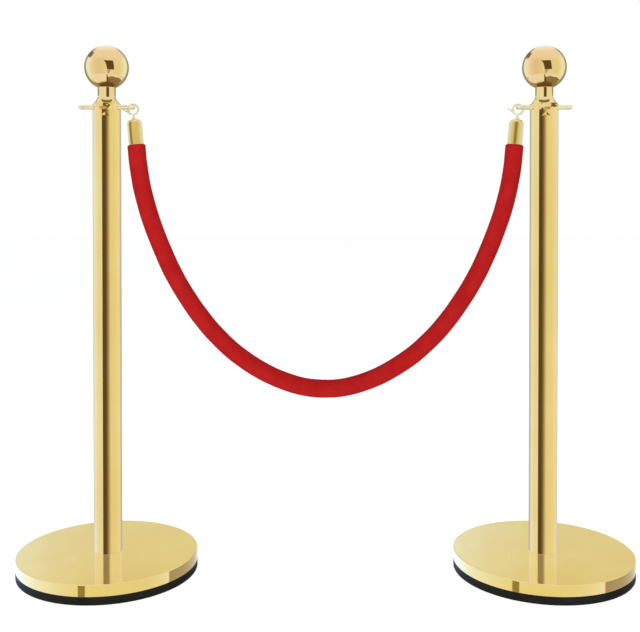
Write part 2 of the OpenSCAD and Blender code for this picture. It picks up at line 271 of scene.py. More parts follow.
def lathe(name, outline, sides, place):
    """Turns a closed outline of (radius, height), in millimetres, about the Z axis of a frame."""
    angles = [2 * math.pi * k / sides for k in range(sides)]
    points = [
        place @ (Vector((r * math.cos(a), r * math.sin(a), z)) * MM) for a in angles for r, z in outline
    ]
    n = len(outline)
    faces = [
        (k * n + i, (k + 1) % sides * n + i, (k + 1) % sides * n + (i + 1) % n, k * n + (i + 1) % n)
        for k in range(sides)
        for i in range(n)
    ]
    return mesh_object(name, points, faces)


def sweep(name, centres, sides, radius_at, across=Vector((0, 1, 0))):
    """A closed tube along a plane path. radius_at(i, angle) is in metres; angle 0 points along across."""
    count = len(centres)
    points = []
    for i, centre in enumerate(centres):
        ahead = (centres[min(i + 1, count - 1)] - centres[max(i - 1, 0)]).normalized()
        side = across.cross(ahead).normalized()
        for k in range(sides):
            a = 2 * math.pi * k / sides
            points.append(centre + (across * math.cos(a) + side * math.sin(a)) * radius_at(i, a))
    faces = [
        (i * sides + k, i * sides + (k + 1) % sides, (i + 1) * sides + (k + 1) % sides, (i + 1) * sides + k)
        for i in range(count - 1)
        for k in range(sides)
    ]
    faces += [tuple(range(sides - 1, -1, -1)), tuple(range((count - 1) * sides, count * sides))]
    return mesh_object(name, points, faces)


def finish_piece(piece, material, slot, body, *nodes):
    """Dresses a new piece and puts it in the place of its CAD nodes."""
    piece.data.materials.clear()
    piece.data.materials.append(material)
    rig.slot(piece, slot)
    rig.ride(piece, body)
    if nodes:
        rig.replaces(piece, *nodes)
    return piece


# ---------- material tools ----------


class Nodes:
    """Builds a node tree with few words."""

    def __init__(self, tree):
        self.tree = tree
        tree.nodes.clear()

    def add(self, kind, inputs=(), **settings):
        node = self.tree.nodes.new(kind)
        for key, value in settings.items():
            setattr(node, key, value)
        for key, value in dict(inputs).items():
            self.put(node.inputs[key], value)
        return node

    def put(self, socket, value):
        if isinstance(value, bpy.types.NodeSocket):
            self.tree.links.new(value, socket)
        else:
            socket.default_value = value

    def math(self, operation, a, b=0.0, c=0.0):
        return self.add("ShaderNodeMath", {0: a, 1: b, 2: c}, operation=operation).outputs[0]

    def ramp(self, factor, stops, blend="LINEAR"):
        node = self.add("ShaderNodeValToRGB", {0: factor})
        node.color_ramp.interpolation = blend
        elements = node.color_ramp.elements
        while len(elements) < len(stops):
            elements.new(0.5)
        for element, (place, colour) in zip(elements, stops):
            element.position = place
            element.color = (*colour, 1)
        return node.outputs[0]

    def span(self, value, low, high, to_low=0.0, to_high=1.0):
        """Smoothly maps low..high to to_low..to_high."""
        node = self.add("ShaderNodeMapRange", {0: value, 1: low, 2: high, 3: to_low, 4: to_high})
        node.interpolation_type = "SMOOTHSTEP"
        return node.outputs[0]

    def mix(self, factor, a, b):
        node = self.add("ShaderNodeMix", data_type="RGBA")
        for socket, value in ((node.inputs[0], factor), (node.inputs[6], a), (node.inputs[7], b)):
            self.put(socket, (*value, 1) if isinstance(value, tuple) else value)
        return node.outputs[2]

    def multiplied(self, a, b):
        """The product of two colours."""
        node = self.add("ShaderNodeMix", data_type="RGBA", blend_type="MULTIPLY")
        for socket, value in ((0, 1.0), (6, a), (7, b)):
            self.put(node.inputs[socket], value)
        return node.outputs[2]

    def absolute(self, value):
        return self.math("ABSOLUTE", value)

    def noise(self, vector, scale, detail=2.0, rough=0.5):
        inputs = {"Vector": vector, "Scale": scale, "Detail": detail, "Roughness": rough}
        return self.add("ShaderNodeTexNoise", inputs).outputs["Fac"]

    def bump(self, height, strength, distance):
        inputs = {"Height": height, "Strength": strength, "Distance": distance}
        return self.add("ShaderNodeBump", inputs).outputs["Normal"]

    def scaled(self, vector, scale):
        return self.add("ShaderNodeMapping", {"Vector": vector, "Scale": scale}).outputs[0]


def material(name, build, **fixed):
    """A Principled material; build(nodes, place) gives the sockets that vary over the surface."""
    made = bpy.data.materials.new(name)
    made.use_nodes = True
    nodes = Nodes(made.node_tree)
    place = nodes.add("ShaderNodeTexCoord").outputs["Object"]
    shader = nodes.add("ShaderNodeBsdfPrincipled")
    for key, value in {**{k.replace("_", " "): v for k, v in fixed.items()}, **build(nodes, place)}.items():
        nodes.put(shader.inputs[key], value)
    output = nodes.add("ShaderNodeOutputMaterial")
    nodes.tree.links.new(shader.outputs[0], output.inputs[0])
    return made


def gold(name, light, deep, shine, grain):
    """Polished metal: slight colour drift, wiped smudges and fine polishing lines.

    grain scales the lines along X, Y and Z, so they run along the axis with the smallest number."""

    def build(nodes, place):
        drift = nodes.noise(place, 9, 3)
        smudge = nodes.noise(nodes.scaled(place, (1, 1, 0.6)), 45, 6, 0.6)
        lines = nodes.noise(nodes.scaled(place, grain), 1, 2)
        return {
            "Base Color": nodes.mix(nodes.span(drift, 0.3, 0.7), deep, light),
            "Roughness": nodes.span(smudge, 0.35, 0.75, shine, shine + 0.06),
            "Normal": nodes.bump(lines, 0.02, 0.0001),
        }

    return material(name, build, Metallic=1.0, IOR=1.5)


# ---------- materials ----------

GOLD_LIGHT = (0.835, 0.665, 0.30)
GOLD_DEEP = (0.805, 0.625, 0.262)

tube_gold = gold("tube_gold", GOLD_LIGHT, GOLD_DEEP, 0.05, (40, 40, 900))
disc_gold = gold("disc_gold", GOLD_LIGHT, GOLD_DEEP, 0.05, (60, 60, 60))
ball_gold = gold("ball_gold", GOLD_LIGHT, GOLD_DEEP, 0.04, (60, 60, 60))
loop_gold = gold("loop_gold", (0.87, 0.77, 0.50), (0.84, 0.72, 0.43), 0.12, (200, 200, 200))
hook_gold = gold("hook_gold", (0.86, 0.80, 0.54), (0.82, 0.74, 0.46), 0.24, (300, 300, 300))


def velvet(nodes, place):
    pile = nodes.noise(place, 2600, 2, 0.7)
    nap = nodes.noise(nodes.scaled(place, (1, 1.6, 1)), 38, 4, 0.6)
    shade = nodes.mix(nodes.span(nap, 0.3, 0.7), (0.395, 0.0088, 0.0092), (0.45, 0.0128, 0.0132))
    fleck = nodes.mix(nodes.span(pile, 0.35, 0.65), (0.84, 0.8, 0.8), (1.0, 1.0, 1.0))
    return {
        "Base Color": nodes.multiplied(shade, fleck),
        "Roughness": nodes.span(nap, 0.2, 0.8, 0.85, 1.0),
        "Normal": nodes.bump(pile, 0.35, 0.0003),
    }


red_velvet = material(
    "red_velvet",
    velvet,
    Sheen_Weight=0.03,
    Sheen_Roughness=0.4,
    Sheen_Tint=(1.0, 0.35, 0.3, 1),
    Specular_IOR_Level=0.1,
)


RUBBER_DEEP = (0.010, 0.0098, 0.0085)
RUBBER_WORN = (0.021, 0.0205, 0.018)


def rubber(nodes, place):
    grain = nodes.noise(place, 900, 4, 0.6)
    scuff = nodes.noise(nodes.scaled(place, (1, 1, 6)), 30, 5, 0.7)
    return {
        "Base Color": nodes.mix(nodes.span(scuff, 0.45, 0.8), RUBBER_DEEP, RUBBER_WORN),
        "Roughness": nodes.span(scuff, 0.3, 0.8, 0.45, 0.7),
        "Normal": nodes.bump(grain, 0.25, 0.0002),
    }


black_rubber = material("black_rubber", rubber, Specular_IOR_Level=0.06)


def steel(nodes, place):
    brushed = nodes.noise(nodes.scaled(place, (1, 1, 12)), 160, 4, 0.6)
    return {
        "Base Color": nodes.mix(nodes.span(brushed, 0.3, 0.7), (0.52, 0.53, 0.55), (0.72, 0.73, 0.74)),
        "Roughness": nodes.span(brushed, 0.3, 0.7, 0.22, 0.38),
        "Normal": nodes.bump(brushed, 0.15, 0.0001),
    }


bright_steel = material("bright_steel", steel, Metallic=1.0)


def iron(nodes, place):
    lumps = nodes.noise(place, 180, 8, 0.65)
    return {
        "Base Color": nodes.mix(nodes.span(lumps, 0.3, 0.7), (0.03, 0.03, 0.032), (0.11, 0.105, 0.1)),
        "Roughness": nodes.span(lumps, 0.3, 0.7, 0.55, 0.85),
        "Normal": nodes.bump(lumps, 0.6, 0.0006),
    }


cast_iron = material("cast_iron", iron, Metallic=0.4)


def cotton(nodes, place):
    fibre = nodes.noise(nodes.scaled(place, (1, 1, 4)), 700, 5, 0.7)
    return {
        "Base Color": nodes.mix(nodes.span(fibre, 0.3, 0.7), (0.62, 0.57, 0.47), (0.86, 0.83, 0.76)),
        "Roughness": nodes.span(fibre, 0.3, 0.7, 0.85, 0.98),
        "Normal": nodes.bump(fibre, 0.5, 0.0004),
    }


cotton_core = material("cotton_core", cotton, Sheen_Weight=0.2)


def wood(nodes, place):
    rings = nodes.noise(nodes.scaled(place, (260, 260, 14)), 1, 6, 0.6)
    return {
        "Base Color": nodes.mix(nodes.span(rings, 0.3, 0.7), (0.33, 0.19, 0.09), (0.55, 0.37, 0.2)),
        "Roughness": nodes.span(rings, 0.3, 0.7, 0.5, 0.7),
        "Normal": nodes.bump(rings, 0.3, 0.0003),
    }


plug_wood = material("plug_wood", wood)

# ---------- velvet rope ----------

HALF_ROUTE = [
    (334, 725), (327.5, 685), (317.5, 645), (305, 608), (290, 570), (272.5, 532), (251.5, 495),
    (226.5, 458), (197, 422), (162, 389), (122, 361), (82, 341), (41, 328), (0, 324),
]
CAP_TOP = -21.5
CAP_MOUTH = -66.5
CAP_R = 13.5
VELVET_R = 16.0
CORE_R = 13.7
ROPE_LENGTH = 1.2
ROPE_STEP = 1.2
SHOULDER = 3.2
HEM_TUCK = 0.9
PADDING_SIZE, PADDING_DEPTH = 34, 0.35
PILE_SIZE, PILE_DEPTH = 1.7, 0.12
CALM_END = 12
CORE_TAPER, CORE_TAPER_L = 2.2, 6
STRAND_DEPTH, STRAND_TWIST = 0.9, 0.09


def rope_line():
    """Points about ROPE_STEP apart on a smooth curve through the route, from left mouth to right mouth."""
    mouth = {s: hook_frame(s) @ Vector((0, 0, CAP_MOUTH * MM)) for s in SIDES}
    right = [Vector((x, 0, z)) * MM for x, z in HALF_ROUTE]
    left = [Vector((-p.x, 0, p.z)) for p in right[:-1]]
    route = [mouth["left"], *left, *reversed(right), mouth["right"]]
    before = route[0] + (hook_frame("left").to_3x3() @ UP) * (route[1] - route[0]).length
    after = route[-1] + (hook_frame("right").to_3x3() @ UP) * (route[-2] - route[-1]).length
    knots = [before, *route, after]
    line = []
    for a, b, c, d in zip(knots, knots[1:], knots[2:], knots[3:]):
        steps = math.ceil((c - b).length / (ROPE_STEP * MM))
        for k in range(steps):
            t = k / steps
            bent = (2 * a - 5 * b + 4 * c - d) * t**2 + (3 * b - a - 3 * c + d) * t**3
            line.append(0.5 * (2 * b + (c - a) * t + bent))
    return line + [route[-1]]


def end_distance(line):
    """How far each point of the line is from the nearer end, along the line, in millimetres."""
    steps = [0] + [(b - a).length / MM for a, b in zip(line, line[1:])]
    along = np.cumsum(steps)
    return np.minimum(along, along[-1] - along)


def velvet_rope():
    line = rope_line()
    from_end = end_distance(line)

    def radius_at(i, a):
        inwards = max(0.0, 1 - from_end[i] / SHOULDER)
        base = VELVET_R - (VELVET_R - CAP_R + HEM_TUCK) * (1 - math.sqrt(1 - inwards**2))
        spot = line[i] / MM + Vector((0, math.cos(a), math.sin(a))) * VELVET_R
        padding = noise.noise(spot / PADDING_SIZE) * PADDING_DEPTH
        pile = noise.noise(spot / PILE_SIZE) * PILE_DEPTH
        return (base + (padding + pile) * min(1.0, from_end[i] / CALM_END)) * MM

    piece = sweep("velvet_rope", line, 88, radius_at)
    return finish_piece(piece, red_velvet, "red_velvet", "rope", "velvet_sleeve"), line


def cotton_rope():
    line = rope_line()
    from_end = end_distance(line)[::3]
    line = line[::3]

    def radius_at(i, a):
        strand = abs(math.sin(1.5 * a + i * STRAND_TWIST)) ** 0.5
        taper = CORE_TAPER * max(0.0, 1 - from_end[i] / CORE_TAPER_L)
        return (CORE_R - taper - STRAND_DEPTH * (1 - strand)) * MM

    piece = sweep("cotton_rope_core", line, 48, radius_at)
    return finish_piece(piece, cotton_core, "cotton_core", "rope", "rope_core")


rope, rope_path = velvet_rope()
core = cotton_rope()

# ---------- stanchions ----------

HOLE_R = 6.25
COVER_WALL = 1.0
RIM_R = 1.6
TUBE_WALL = 1.2
SKIRT_R = 11
FOOT_W = 21
FOOT_T = 3
STUD_R = 4.05
GROOVE_HALF, GROOVE_DEPTH = 0.9, 0.7
NECK_R = 15.75
COLLAR_LIP = 0.6
SHOULDER_H = 12
FLARE_STEPS = 16
BALL_WALL = 1.2
LOOP_BEND_R = 6
LEG_INSET = 4


def millimetres(node):
    """A node's lowest and highest corner, in millimetres from its post's axis."""
    side = node.split("_")[0]
    shift = Vector((post_axis(side), 0, 0))
    low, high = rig.box(node)
    return (low - shift) / MM, (high - shift) / MM


def on_post(side):
    return Matrix.Translation((post_axis(side), 0, 0))


def rubber_ring(side):
    low, high = millimetres(f"{side}_floor_ring")
    r, top = high.x, high.z
    groove = top * 0.5
    corners = [
        (r - FOOT_W, 0, 0.5), (r, 0, 1.8), (r, groove - GROOVE_HALF, 0.3),
        (r - GROOVE_DEPTH, groove - 0.5, 0.2),
        (r - GROOVE_DEPTH, groove + 0.5, 0.2), (r, groove + GROOVE_HALF, 0.3), (r, top, 0.6),
        (r - SKIRT_R + 0.2, top, 0.4), (r - SKIRT_R + 0.2, FOOT_T, 0.4), (r - FOOT_W, FOOT_T, 0.5),
    ]
    piece = lathe(f"{side}_rubber_ring", supported(rounded(corners)), 256, on_post(side))
    return finish_piece(piece, black_rubber, "black_rubber", "posts", f"{side}_floor_ring")


def cover(side):
    low, high = millimetres(f"{side}_base_cover")
    r, top = high.x, high.z
    corners = [
        (HOLE_R, top - COVER_WALL, 0.2), (r - COVER_WALL, top - COVER_WALL, RIM_R - COVER_WALL),
        (r - COVER_WALL, low.z, 0.35), (r, low.z, 0.45), (r, top, RIM_R), (HOLE_R, top, 0.2),
    ]
    piece = lathe(f"{side}_polished_cover", supported(rounded(corners, 8)), 320, on_post(side))
    return finish_piece(piece, disc_gold, "polished_gold", "posts", f"{side}_base_cover")


def tube(side):
    low, high = millimetres(f"{side}_post_tube")
    r = high.x
    corners = [
        (r - TUBE_WALL, low.z, 0.2), (r, low.z, 0.35), (r, high.z, 0.35), (r - TUBE_WALL, high.z, 0.2),
    ]
    piece = lathe(f"{side}_polished_tube", supported(rounded(corners)), 160, on_post(side))
    return finish_piece(piece, tube_gold, "polished_gold", "posts", f"{side}_post_tube")


def ball_shape(side):
    """Centre height and radius of the ball, in millimetres."""
    low, high = millimetres(f"{side}_ball")
    return high.z - high.x, high.x


def collar(side):
    low, high = millimetres(f"{side}_neck_collar")
    centre, ball_r = ball_shape(side)
    r, rise = high.x, SHOULDER_H - COLLAR_LIP
    flare = [
        (r - (r - NECK_R) * (1.25 * u - 0.25 * u * u), low.z + COLLAR_LIP + rise * (0.8 * u + 0.2 * u * u))
        for u in [k / FLARE_STEPS for k in range(1, FLARE_STEPS + 1)]
    ]
    seat = math.degrees(math.asin(NECK_R / ball_r))
    inner = math.degrees(math.asin(STUD_R / ball_r))
    cup = arc((0, centre), ball_r + 0.02, seat - 90, inner - 90, 10)
    outline = [(STUD_R, low.z), (r - 0.3, low.z), (r, low.z + 0.3), (r, low.z + COLLAR_LIP), *flare, *cup]
    piece = lathe(f"{side}_turned_collar", supported(outline), 160, on_post(side))
    return finish_piece(piece, tube_gold, "polished_gold", "posts", f"{side}_neck_collar")


def ball(side):
    centre, r = ball_shape(side)
    opening = math.degrees(math.asin(STUD_R / r))
    outline = arc((0, centre), r, opening - 90, 89.6, 128)
    outline += arc((0, centre), r - BALL_WALL, 89.6, opening - 90, 64)
    piece = lathe(f"{side}_polished_ball", outline, 192, on_post(side))
    return finish_piece(piece, ball_gold, "polished_gold", "posts", f"{side}_ball")


def loop(side, name, direction):
    """A rod bent into a squared loop: two legs, two bends and an end bar."""
    node = f"{side}_loop_{name}"
    low, high = millimetres(node)
    out, across = Vector(direction), Vector((-direction[1], direction[0], 0))
    rod_r = (high.z - low.z) / 2
    far = max(abs(high.dot(out)), abs(low.dot(out))) - rod_r
    near = min(abs(high.dot(out)), abs(low.dot(out)))
    half_w = abs(high.dot(across)) - rod_r
    corner = arc((far - LOOP_BEND_R, half_w - LOOP_BEND_R), LOOP_BEND_R, 90, 0, 16)
    half = [(near + 0.2, half_w), (near + LEG_INSET, half_w), *corner]
    plan = half + [(x, -y) for x, y in reversed(half)]
    origin = Vector((post_axis(side), 0, (low.z + high.z) / 2 * MM))
    line = [origin + (out * x + across * y) * MM for x, y in plan]
    piece = sweep(f"{node}_rod", line, 40, lambda i, a: rod_r * MM, across=UP)
    return finish_piece(piece, loop_gold, "loop_gold", "posts", node)


# ---------- rope ends ----------

CAP_WALL = 1.2
DOME_R = 9
SHANK_HOLE_R = 2.05
HOLE_EDGE = 0.3
LIP_R = 0.35
HOOK_VOXEL = 0.2
GATE_VOXEL = 0.16


def cap(side):
    top, r, inner = CAP_TOP, CAP_R, CAP_R - CAP_WALL
    dome = arc((r - DOME_R, top - DOME_R), DOME_R, 90, 0, 24)
    hollow = arc((r - DOME_R, top - DOME_R), DOME_R - CAP_WALL, 0, 90, 24)
    lip = arc((r - LIP_R, CAP_MOUTH + LIP_R), LIP_R, 0, -90, 5)
    hole = [(SHANK_HOLE_R, top - CAP_WALL), (SHANK_HOLE_R, top - HOLE_EDGE), (SHANK_HOLE_R + HOLE_EDGE, top)]
    outline = [*hole, *dome, *lip, (inner, CAP_MOUTH), *hollow]
    piece = lathe(f"{side}_domed_cap", supported(outline), 128, hook_frame(side))
    return finish_piece(piece, tube_gold, "polished_gold", "rope", f"{side}_end_cap")


def cast_copy(side, node, name, body, voxel):
    """A piece cast in the shape of its CAD node, its edges softened as tumbling leaves them."""
    source = frame["nodes"][f"{side}_{node}"]
    piece = bpy.data.objects.new(f"{side}_{name}", source.data.copy())
    bpy.context.scene.collection.objects.link(piece)
    remesh = piece.modifiers.new("remesh", "REMESH")
    remesh.mode, remesh.voxel_size = "VOXEL", voxel * MM
    soften = piece.modifiers.new("soften", "SMOOTH")
    soften.factor, soften.iterations = 0.5, 6
    bpy.context.view_layer.update()
    piece.data = bpy.data.meshes.new_from_object(piece.evaluated_get(bpy.context.evaluated_depsgraph_get()))
    piece.modifiers.clear()
    piece.data.shade_smooth()
    return finish_piece(piece, hook_gold, "hook_gold", body, f"{side}_{node}")


on_rope = [core]
for side_name, sign in SIDES.items():
    rubber_ring(side_name)
    cover(side_name)
    tube(side_name)
    collar(side_name)
    ball(side_name)
    loop(side_name, "front", (0, -1, 0))
    loop(side_name, "back", (0, 1, 0))
    loop(side_name, "inner", (-sign, 0, 0))
    loop(side_name, "outer", (sign, 0, 0))
    on_rope.append(cap(side_name))
    on_rope.append(cast_copy(side_name, "hook", "snap_hook", f"{side_name}_hook", HOOK_VOXEL))
    on_rope.append(cast_copy(side_name, "gate", "spring_gate", f"{side_name}_gate", GATE_VOXEL))

# ---------- CAD nodes that stay ----------

KEPT = {
    "base_weight": cast_iron, "base_washers": bright_steel, "base_bolt": bright_steel,
    "foot_plug": bright_steel, "top_plug": bright_steel, "ball_stud": bright_steel,
    "ball_insert": bright_steel, "gate_pin": bright_steel, "gate_spring": bright_steel,
    "swivel_washer": bright_steel, "core_plug": plug_wood, "cap_screws": hook_gold,
}
for side_name in SIDES:
    for part, coat in KEPT.items():
        node = frame["nodes"][f"{side_name}_{part}"]
        node.data.materials.clear()
        node.data.materials.append(coat)
        if part in ("gate_pin", "gate_spring", "swivel_washer", "core_plug", "cap_screws"):
            on_rope.append(node)

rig.cord(
    rope,
    exit=rope_path[0],
    length=ROPE_LENGTH,
    diameter=2 * VELVET_R * MM,
    far_end="fitting",
    stiffness="medium",
    lay="hanging",
    path=rope_path,
    with_pieces=on_rope,
)

# ---------- studio ----------
# The background, the floor and the lights are white and soft. The reflections in polished metal are painted:
# glossy rays see a second surrounding of glowing cards: tall cards in a ring with a dark one in front, and small cards
# around the balls, necks, shoulders, front loops, tubes, base bands and rope caps. The camera sees none.

BRIGHTEST = 2.5
# DARK is the colour of the dark card in the painted reflections.
DARK = (0.13, 0.085, 0.035)


def angles_of(nodes, vector):
    """Degrees of a direction: azimuth 0 is -Y and grows towards +X; elevation is above the horizon."""
    unit = nodes.add("ShaderNodeVectorMath", {0: vector}, operation="NORMALIZE").outputs[0]
    axes = nodes.add("ShaderNodeSeparateXYZ", {0: unit}).outputs
    turn = nodes.math("ARCTAN2", axes[0], nodes.math("MULTIPLY", axes[1], -1))
    lift = nodes.math("ARCSINE", axes[2])
    return nodes.math("MULTIPLY", turn, 180 / math.pi), nodes.math("MULTIPLY", lift, 180 / math.pi)


def dimmed(colour):
    return tuple(c / BRIGHTEST for c in colour)


def graded(nodes, value, low, high, stops):
    """A colour that changes with a value between low and high, from stops (value, colour)."""
    place = nodes.math("DIVIDE", nodes.math("SUBTRACT", value, low), high - low)
    return nodes.ramp(place, [((v - low) / (high - low), dimmed(colour)) for v, colour in stops])


def both(nodes, *masks):
    """The product of masks."""
    product = masks[0]
    for mask in masks[1:]:
        product = nodes.math("MULTIPLY", product, mask)
    return product


# The painted reflection all round at the height of the posts, by azimuth, with a dark card in front.
RING_OF_CARDS = [
    (-180, (0.50, 0.52, 0.60)), (-150, (0.62, 0.70, 0.90)), (-130, (0.80, 0.92, 1.25)),
    (-116, (1.02, 1.15, 1.60)), (-96, (1.03, 1.08, 1.22)), (-60, (0.98, 1.00, 1.03)),
    (-38, (0.98, 1.00, 1.03)), (-34, DARK), (-19, DARK), (-14.5, (0.90, 0.86, 0.72)),
    (68, (0.98, 0.95, 0.78)), (98, (1.03, 1.10, 1.30)), (128, (0.84, 0.90, 1.15)),
    (152, (0.63, 0.66, 0.75)), (180, (0.50, 0.52, 0.60)),
]
BACK_CARD = [
    (14, (0.95, 0.95, 0.85)), (18, (0.88, 0.87, 0.68)), (20.5, (0.90, 0.86, 0.60)),
    (23.5, (0.815, 0.74, 0.39)), (50, (0.95, 0.92, 0.80)), (90, (1.0, 1.0, 1.0)),
]
BACK_WAVE = [
    (-40, (1, 1, 1)), (-18.5, (1.09, 1.26, 1.9)), (-16, (1.03, 1.08, 1.3)), (-13, (1, 1, 1)),
    (-7.5, (1, 1, 1)), (8, (1.09, 1.26, 1.9)), (10.5, (1.03, 1.08, 1.3)), (13, (1, 1, 1)),
    (18.5, (1, 1, 1)), (40, (1, 1, 1)),
]
WHITE_CARD = (1.0, 1.02, 1.1)


def high_cards(nodes, azimuth, elevation):
    """Higher up in the painted reflection: a white card all round, and at the back one graded from pale to gold."""
    behind = nodes.math("SUBTRACT", 180, nodes.absolute(azimuth))
    signed = nodes.math("MULTIPLY", behind, nodes.math("SIGN", azimuth))
    wave = graded(nodes, signed, -40, 40, BACK_WAVE)
    wave = nodes.add("ShaderNodeVectorMath", {0: wave, 3: BRIGHTEST}, operation="SCALE").outputs[0]
    back = nodes.multiplied(graded(nodes, elevation, 14, 90, BACK_CARD), wave)
    return nodes.mix(nodes.span(behind, 60, 40), dimmed(WHITE_CARD), back)


AMBIENT = 0.5


def make_world():
    world = bpy.data.worlds.new("studio")
    bpy.context.scene.world = world
    world.use_nodes = True
    world.cycles.sampling_method = "NONE"
    nodes = Nodes(world.node_tree)
    azimuth, elevation = angles_of(nodes, nodes.add("ShaderNodeTexCoord").outputs["Generated"])
    low = graded(nodes, azimuth, -180, 180, RING_OF_CARDS)
    in_front = nodes.span(nodes.absolute(azimuth), 80, 60)
    off_level = nodes.span(nodes.absolute(nodes.math("ADD", elevation, 8)), 14, 22)
    low = nodes.mix(both(nodes, in_front, off_level), low, dimmed(WHITE_CARD))
    seen = nodes.mix(nodes.span(elevation, 13, 16), low, high_cards(nodes, azimuth, elevation))
    # Glossy rays see the painted reflection, other rays see a soft white light, and the camera sees plain white.
    path = nodes.add("ShaderNodeLightPath").outputs
    reflected = nodes.add("ShaderNodeBackground", {"Color": seen, "Strength": BRIGHTEST}).outputs[0]
    soft = nodes.add("ShaderNodeBackground", {"Color": (1, 1, 1, 1), "Strength": AMBIENT}).outputs[0]
    white = nodes.add("ShaderNodeBackground", {"Color": (1, 1, 1, 1), "Strength": 1.0}).outputs[0]
    lit = nodes.add("ShaderNodeMixShader", {0: path["Is Glossy Ray"], 1: soft, 2: reflected}).outputs[0]
    shown = nodes.add("ShaderNodeMixShader", {0: path["Is Camera Ray"], 1: lit, 2: white}).outputs[0]
    nodes.add("ShaderNodeOutputWorld", {0: shown})


def reflected_card(name, place, mesh_maker, nearest, reach, colour):
    """A glowing card about the Z axis of a frame, which paints a reflection into polished metal.

    Only polished metal between nearest and reach away, in millimetres, sees it, and only its inner side.
    colour(nodes, place) gives its colour and the share of it that shows."""
    made = bpy.data.materials.new(name)
    made.use_nodes = True
    made.cycles.emission_sampling = "NONE"
    nodes = Nodes(made.node_tree)
    shade, share = colour(nodes, nodes.add("ShaderNodeTexCoord").outputs["Object"])
    glow = nodes.add("ShaderNodeEmission", {"Color": shade, "Strength": BRIGHTEST}).outputs[0]
    clear = nodes.add("ShaderNodeBsdfTransparent").outputs[0]
    length = nodes.add("ShaderNodeLightPath").outputs["Ray Length"]
    close = nodes.math("LESS_THAN", length, reach * MM)
    beyond = nodes.math("GREATER_THAN", length, nearest * MM)
    inner = nodes.math("SUBTRACT", 1, nodes.add("ShaderNodeNewGeometry").outputs["Backfacing"])
    seen = both(nodes, both(nodes, close, beyond), inner, share)
    shader = nodes.add("ShaderNodeMixShader", {0: seen, 1: clear, 2: glow}).outputs[0]
    nodes.add("ShaderNodeOutputMaterial", {0: shader})
    card = mesh_maker(name)
    card.matrix_world = place
    card.data.materials.append(made)
    card.visible_camera = card.visible_diffuse = card.visible_shadow = False
    card.visible_transmission = card.visible_volume_scatter = False
    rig.stage(card)


def shell(outline, sides=96):
    """An open turned surface from (radius, height) in millimetres; from bottom to top, it faces inwards."""

    def maker(name):
        n = len(outline)
        angles = [2 * math.pi * k / sides for k in range(sides)]
        points = [Vector((r * math.cos(a), r * math.sin(a), z)) * MM for a in angles for r, z in outline]
        faces = [
            (k * n + i, k * n + i + 1, (k + 1) % sides * n + i + 1, (k + 1) % sides * n + i)
            for k in range(sides)
            for i in range(n - 1)
        ]
        return mesh_object(name, points, faces)

    return maker


# The ball's painted reflection: a glowing tent around the ball, coloured by direction from its centre.
TENT_R = 62
TENT_OPEN = -50
TENT_FRONT_OPEN = -29
BALL_RING = [
    (-180, (0.98, 0.94, 0.84)), (-160, (0.94, 0.90, 0.78)), (-143, (0.38, 0.38, 0.32)),
    (-106, (0.42, 0.42, 0.36)), (-96, (1.05, 1.14, 1.5)), (-78, (1.08, 1.18, 1.5)),
    (-55, (0.98, 0.92, 1.05)), (-33, (0.90, 0.80, 0.72)),
    (-12, (0.92, 0.84, 0.80)), (0, (1.0, 0.93, 0.98)), (30, (0.96, 0.91, 0.85)), (52, (0.94, 0.92, 0.80)),
    (78, (1.08, 1.14, 1.4)), (97, (1.02, 1.08, 1.2)), (106, (0.42, 0.42, 0.36)),
    (143, (0.38, 0.38, 0.32)), (160, (0.94, 0.90, 0.78)), (180, (0.98, 0.94, 0.84)),
]
PEACH = (1.02, 0.94, 1.12)
PALE = (1.08, 1.10, 1.4)
RIM = (0.36, 0.36, 0.30)
# A dark patch and its lean, painted into the ball's reflection.
PAINTED_DARK_PATCH = (0.14, 0.085, 0.03)
PAINTED_DARK_LEAN = -0.13
NOTCH = (0.24, 0.20, 0.12)
SLOT_SHARE = 0.5
BEND_LOW, BEND_HIGH = -24, 20
BEND = [(0, 0.73), (0.09, 0.725), (0.43, 0.6), (0.73, 0.44), (1, 0.02)]


def ball_card(nodes, place):
    """The painted reflection in the ball: light lobes left and right, a peach top, a dark patch and a dark notch."""
    azimuth, elevation = angles_of(nodes, place)
    colour = graded(nodes, azimuth, -180, 180, BALL_RING)
    colour = nodes.mix(nodes.span(elevation, 18, 38), colour, dimmed(PEACH))
    colour = nodes.mix(nodes.span(elevation, 55, 76), colour, dimmed(PALE))
    away = nodes.absolute(azimuth)
    aside = both(nodes, nodes.span(away, 90, 108), nodes.span(away, 160, 143), nodes.span(elevation, 66, 50))
    colour = nodes.mix(aside, colour, dimmed(RIM))
    tall = BEND_HIGH - BEND_LOW
    risen = nodes.math("MULTIPLY_ADD", elevation, 1 / tall, -BEND_LOW / tall)
    bend = nodes.ramp(risen, [(at, (value,) * 3) for at, value in BEND])
    left = nodes.span(nodes.math("SUBTRACT", azimuth, nodes.math("MULTIPLY_ADD", bend, 20, -12)), -1.2, 1.2)
    slant = nodes.math("SUBTRACT", azimuth, nodes.math("MULTIPLY", elevation, PAINTED_DARK_LEAN))
    dark_patch = both(nodes, left, nodes.span(slant, 27, 24.5), nodes.span(elevation, 20, 17),
                  nodes.span(elevation, -14.5, -12))
    colour = nodes.mix(dark_patch, colour, dimmed(PAINTED_DARK_PATCH))
    slot_slant = nodes.math("ADD", azimuth, nodes.math("MULTIPLY", elevation, -0.5))
    slot = both(nodes, left, nodes.span(slot_slant, 24, 21), nodes.span(elevation, -11, -14))
    colour = nodes.mix(nodes.math("MULTIPLY", slot, SLOT_SHARE), colour, dimmed(PAINTED_DARK_PATCH))
    notch = both(nodes, nodes.span(azimuth, -69, -73), nodes.span(azimuth, -125, -112),
                 nodes.span(elevation, 26, 34), nodes.span(elevation, 52, 46))
    open_front = both(nodes, nodes.span(nodes.absolute(azimuth), 98, 92),
                      nodes.span(elevation, TENT_FRONT_OPEN + 0.5, TENT_FRONT_OPEN))
    return nodes.mix(notch, colour, dimmed(NOTCH)), nodes.math("SUBTRACT", 1, open_front)
